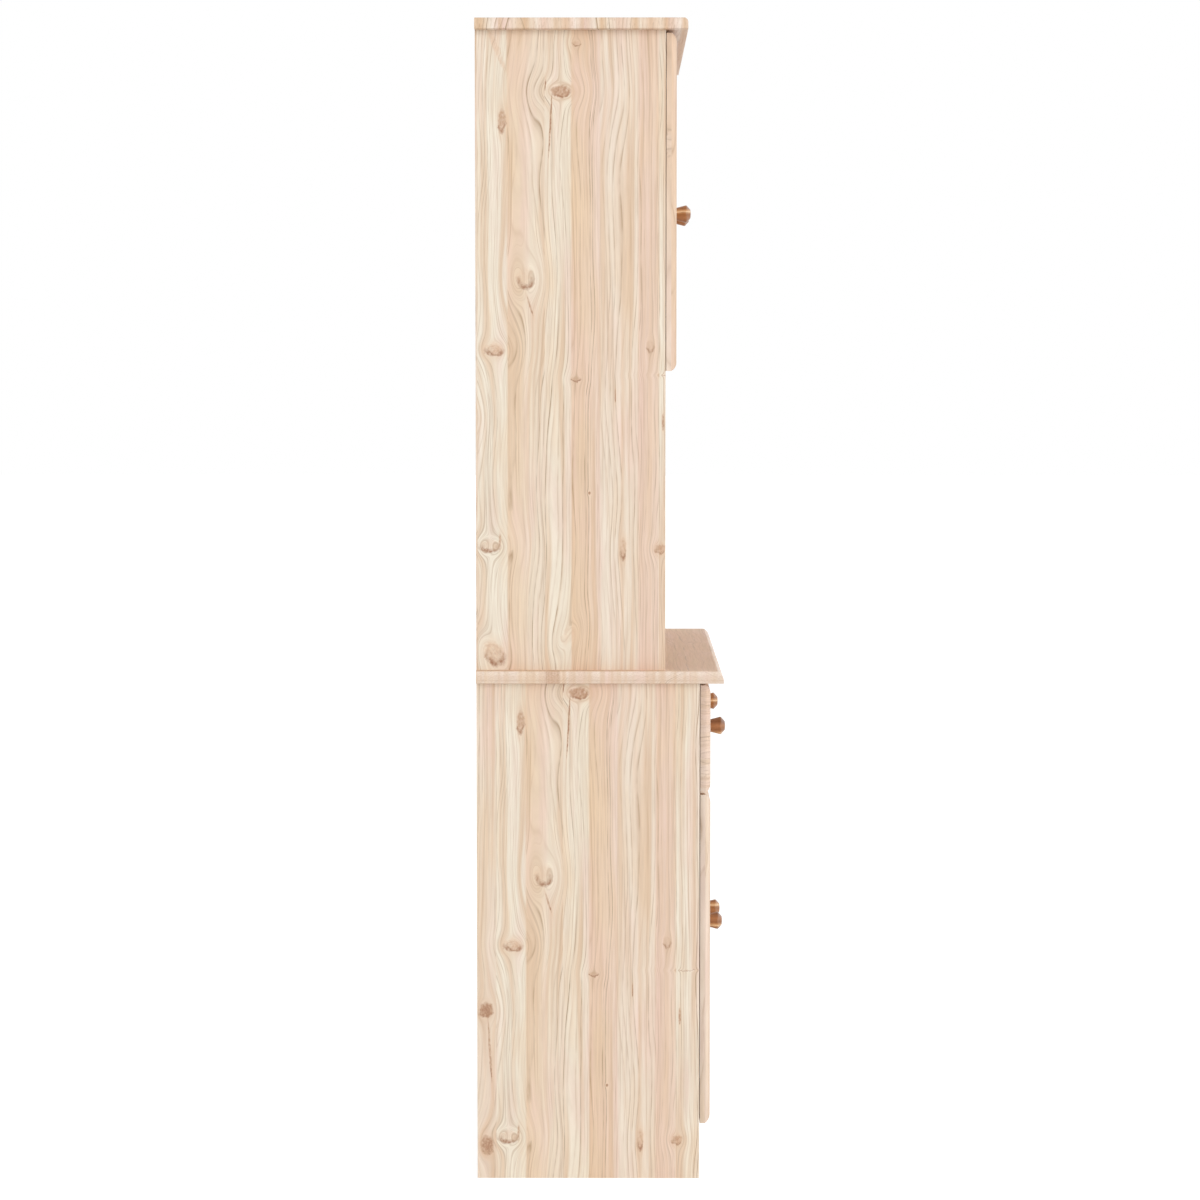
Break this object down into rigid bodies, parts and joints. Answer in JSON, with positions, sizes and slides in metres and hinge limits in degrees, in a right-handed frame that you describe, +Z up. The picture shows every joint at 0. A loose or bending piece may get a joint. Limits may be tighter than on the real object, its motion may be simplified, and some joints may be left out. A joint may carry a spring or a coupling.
{
  "type": "two-part pine cupboard",
  "caption": "Tall shallow pine cupboard: base with drawers over hinged doors, open niche, and a shallower hutch with hinged doors.",
  "frame": {"origin": "on the floor, under the middle of the whole cupboard's box, knobs included", "axes": "+Z up, the front with doors and drawers faces -Y, +X to the right seen from the front"},
  "size_m": [0.77, 0.36, 1.65],
  "materials": {
    "pine": "clear satin lacquer on edge-glued pine",
    "knob_wood": "stained and lacquered turned wood",
    "plywood": "sanded thin plywood",
    "beech": "planed beech",
    "zinc_plated_steel": "bright zinc plate"
  },
  "bodies": {
    "cabinet": {"base_back": "plywood", "base_bottom": "pine", "base_plinth": "pine", "base_shelf": "pine", "base_side_left": "pine", "base_side_right": "pine", "dowels": "beech", "drawer_divider": "pine", "drawer_runners": "beech", "drawer_shelf": "pine", "hinge_arms": "zinc_plated_steel", "hutch_back": "plywood", "hutch_bottom": "pine", "hutch_shelf": "pine", "hutch_side_left": "pine", "hutch_side_right": "pine", "hutch_top": "pine", "shelf_pins": "zinc_plated_steel", "worktop": "pine"},
    "lower_left_link": {"lower_left_hinge_links": "zinc_plated_steel"},
    "lower_left_door": {"lower_left_door_battens": "pine", "lower_left_door_board": "pine", "lower_left_door_knob": "knob_wood", "lower_left_hinge_cups": "zinc_plated_steel"},
    "lower_right_link": {"lower_right_hinge_links": "zinc_plated_steel"},
    "lower_right_door": {"lower_right_door_battens": "pine", "lower_right_door_board": "pine", "lower_right_door_knob": "knob_wood", "lower_right_hinge_cups": "zinc_plated_steel"},
    "upper_left_link": {"upper_left_hinge_links": "zinc_plated_steel"},
    "upper_left_door": {"upper_left_door_battens": "pine", "upper_left_door_board": "pine", "upper_left_door_knob": "knob_wood", "upper_left_hinge_cups": "zinc_plated_steel"},
    "upper_right_link": {"upper_right_hinge_links": "zinc_plated_steel"},
    "upper_right_door": {"upper_right_door_battens": "pine", "upper_right_door_board": "pine", "upper_right_door_knob": "knob_wood", "upper_right_hinge_cups": "zinc_plated_steel"},
    "left_drawer": {"left_drawer_back": "pine", "left_drawer_bottom": "plywood", "left_drawer_front": "pine", "left_drawer_knob": "knob_wood", "left_drawer_side_left": "pine", "left_drawer_side_right": "pine"},
    "right_drawer": {"right_drawer_back": "pine", "right_drawer_bottom": "plywood", "right_drawer_front": "pine", "right_drawer_knob": "knob_wood", "right_drawer_side_left": "pine", "right_drawer_side_right": "pine"}
  },
  "joints": [
    {"name": "lower_left_link_turn", "type": "hinge", "parent": "cabinet", "child": "lower_left_link", "pos_m": [-0.3285, -0.1341, 0.317], "axis": [0, 0, 1], "range_deg": [0, 25.5]},
    {"name": "lower_left_door_swing", "type": "hinge", "parent": "lower_left_link", "child": "lower_left_door", "pos_m": [-0.356, -0.1419, 0.317], "axis": [0, 0, -1], "range_deg": [0, 115.2]},
    {"name": "lower_right_link_turn", "type": "hinge", "parent": "cabinet", "child": "lower_right_link", "pos_m": [0.3285, -0.1341, 0.317], "axis": [0, 0, -1], "range_deg": [0, 25.5]},
    {"name": "lower_right_door_swing", "type": "hinge", "parent": "lower_right_link", "child": "lower_right_door", "pos_m": [0.356, -0.1419, 0.317], "axis": [0, 0, 1], "range_deg": [0, 115.2]},
    {"name": "upper_left_link_turn", "type": "hinge", "parent": "cabinet", "child": "upper_left_link", "pos_m": [-0.3285, -0.0846, 1.39375], "axis": [0, 0, 1], "range_deg": [0, 25.5]},
    {"name": "upper_left_door_swing", "type": "hinge", "parent": "upper_left_link", "child": "upper_left_door", "pos_m": [-0.356, -0.0924, 1.39375], "axis": [0, 0, -1], "range_deg": [0, 115.2]},
    {"name": "upper_right_link_turn", "type": "hinge", "parent": "cabinet", "child": "upper_right_link", "pos_m": [0.3285, -0.0846, 1.39375], "axis": [0, 0, -1], "range_deg": [0, 25.5]},
    {"name": "upper_right_door_swing", "type": "hinge", "parent": "upper_right_link", "child": "upper_right_door", "pos_m": [0.356, -0.0924, 1.39375], "axis": [0, 0, 1], "range_deg": [0, 115.2]},
    {"name": "left_drawer_slide", "type": "slide", "parent": "cabinet", "child": "left_drawer", "axis": [0, -1, 0], "range_m": [0, 0.2]},
    {"name": "right_drawer_slide", "type": "slide", "parent": "cabinet", "child": "right_drawer", "axis": [0, -1, 0], "range_m": [0, 0.2]}
  ],
  "couplings": [
    {"joint": "lower_left_link_turn", "follows": "lower_left_door_swing", "ratio": 0.21875},
    {"joint": "lower_right_link_turn", "follows": "lower_right_door_swing", "ratio": 0.21875},
    {"joint": "upper_left_link_turn", "follows": "upper_left_door_swing", "ratio": 0.21875},
    {"joint": "upper_right_link_turn", "follows": "upper_right_door_swing", "ratio": 0.21875}
  ]
}
